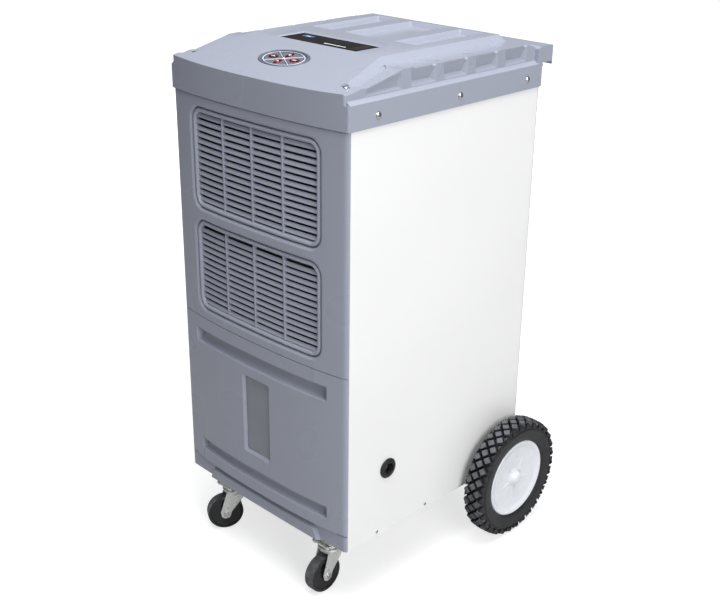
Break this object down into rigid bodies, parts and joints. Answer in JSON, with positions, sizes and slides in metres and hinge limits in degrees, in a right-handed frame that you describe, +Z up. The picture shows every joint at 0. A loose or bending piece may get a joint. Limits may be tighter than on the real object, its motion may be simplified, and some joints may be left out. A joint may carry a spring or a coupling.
{
  "type": "dehumidifier",
  "caption": "Upright wheeled cabinet dehumidifier: bowed grey front with louvres, removable lower water tank, sloped control lid, big rear wheels and front swivel casters.",
  "frame": {"origin": "on the floor, under the middle of the whole machine's box", "axes": "+Z up, -Y towards the front with the louvres and the tank, +X towards the side with the drain outlet"},
  "size_m": [0.579, 0.5895, 1.022],
  "materials": {
    "grey_plastic": "satin moulded",
    "panel_plastic": "fine texture",
    "white_steel": "powder coat",
    "zinc_steel": "zinc plated",
    "galvanised_steel": "galvanised sheet",
    "black_rubber": "matt",
    "tyre_rubber": "matt moulded",
    "black_paint": "semi gloss",
    "black_plastic": "matt",
    "copper": "drawn tube",
    "coil_fins": "thin fins",
    "tank_plastic": "translucent moulded",
    "window_plastic": "smoked window",
    "display_glass": "gloss black",
    "float_foam": "foam",
    "board_green": "lacquered",
    "hose": "soft clear tube"
  },
  "bodies": {
    "root": {"base_tray": "galvanised_steel", "base_skirt": "grey_plastic", "right_side_panel": "white_steel", "left_side_panel": "white_steel", "rear_panel": "white_steel", "partition_deck": "galvanised_steel", "top_cover": "grey_plastic", "control_bezel": "panel_plastic", "display_lens": "display_glass", "control_board": "board_green", "front_panel": "grey_plastic", "upper_grille": "grey_plastic", "lower_grille": "grey_plastic", "air_filter": "black_plastic", "evaporator": "coil_fins", "condenser": "coil_fins", "drip_tray": "tank_plastic", "drain_hose": "hose", "drain_outlet": "black_rubber", "compressor": "black_paint", "compressor_mount_1": "black_rubber", "compressor_mount_2": "black_rubber", "compressor_mount_3": "black_rubber", "suction_pipe": "copper", "discharge_pipe": "copper", "fan_shroud": "black_plastic", "fan_motor": "black_paint", "axle_rod": "zinc_steel", "axle_bracket_left": "zinc_steel", "axle_bracket_right": "zinc_steel", "cord_gland": "black_plastic", "caster_bracket_left": "zinc_steel", "caster_bracket_right": "zinc_steel", "caster_plate_left": "zinc_steel", "caster_plate_right": "zinc_steel", "screw_lid_right_front": "zinc_steel", "screw_lid_right_mid": "zinc_steel", "screw_lid_right_rear": "zinc_steel", "screw_lid_left_front": "zinc_steel", "screw_lid_left_mid": "zinc_steel", "screw_lid_left_rear": "zinc_steel"},
    "wheel_left": {"tyre_left": "tyre_rubber", "hub_left": "white_steel"},
    "wheel_right": {"tyre_right": "tyre_rubber", "hub_right": "white_steel"},
    "swivel_left": {"fork_left": "zinc_steel", "caster_bolt_left": "zinc_steel"},
    "swivel_right": {"fork_right": "zinc_steel", "caster_bolt_right": "zinc_steel"},
    "roller_left": {"caster_wheel_left": "black_rubber"},
    "roller_right": {"caster_wheel_right": "black_rubber"},
    "tank": {"water_tank": "tank_plastic", "tank_front": "grey_plastic", "level_window": "window_plastic"},
    "float": {"tank_float": "float_foam"},
    "fan": {"fan_blades": "black_plastic"},
    "key_front": {"front_button": "panel_plastic"},
    "key_rear": {"rear_button": "panel_plastic"},
    "key_left": {"left_button": "panel_plastic"},
    "key_right": {"right_button": "panel_plastic"}
  },
  "joints": [
    {"name": "wheel_left_spin", "type": "hinge", "parent": "root", "child": "wheel_left", "pos_m": [-0.266, 0.1675, 0.127], "axis": [1, 0, 0], "continuous": true},
    {"name": "wheel_right_spin", "type": "hinge", "parent": "root", "child": "wheel_right", "pos_m": [0.266, 0.1675, 0.127], "axis": [1, 0, 0], "continuous": true},
    {"name": "caster_left_swivel", "type": "hinge", "parent": "root", "child": "swivel_left", "pos_m": [-0.145, -0.2375, 0.085], "axis": [0, 0, 1], "continuous": true},
    {"name": "caster_right_swivel", "type": "hinge", "parent": "root", "child": "swivel_right", "pos_m": [0.145, -0.2375, 0.085], "axis": [0, 0, 1], "continuous": true},
    {"name": "caster_left_roll", "type": "hinge", "parent": "swivel_left", "child": "roller_left", "pos_m": [-0.155, -0.25482, 0.0375], "axis": [0.866, -0.5, 0], "continuous": true},
    {"name": "caster_right_roll", "type": "hinge", "parent": "swivel_right", "child": "roller_right", "pos_m": [0.145, -0.2575, 0.0375], "axis": [1, 0, 0], "continuous": true},
    {"name": "tank_slide", "type": "slide", "parent": "root", "child": "tank", "axis": [0, -1, 0], "range_m": [0, 0.235]},
    {"name": "float_pivot", "type": "hinge", "parent": "tank", "child": "float", "pos_m": [-0.103, -0.0375, 0.422], "axis": [1, 0, 0], "range_deg": [-75, 0]},
    {"name": "fan_spin", "type": "hinge", "parent": "root", "child": "fan", "pos_m": [0, 0.1835, 0.735], "axis": [0, 1, 0], "continuous": true},
    {"name": "front_button_press", "type": "slide", "parent": "root", "child": "key_front", "axis": [0, 0.2198, -0.9755], "range_m": [0, 0.0015], "stiffness_N_per_m": 600},
    {"name": "rear_button_press", "type": "slide", "parent": "root", "child": "key_rear", "axis": [0, 0.2198, -0.9755], "range_m": [0, 0.0015], "stiffness_N_per_m": 600},
    {"name": "left_button_press", "type": "slide", "parent": "root", "child": "key_left", "axis": [0, 0.2198, -0.9755], "range_m": [0, 0.0015], "stiffness_N_per_m": 600},
    {"name": "right_button_press", "type": "slide", "parent": "root", "child": "key_right", "axis": [0, 0.2198, -0.9755], "range_m": [0, 0.0015], "stiffness_N_per_m": 600}
  ]
}
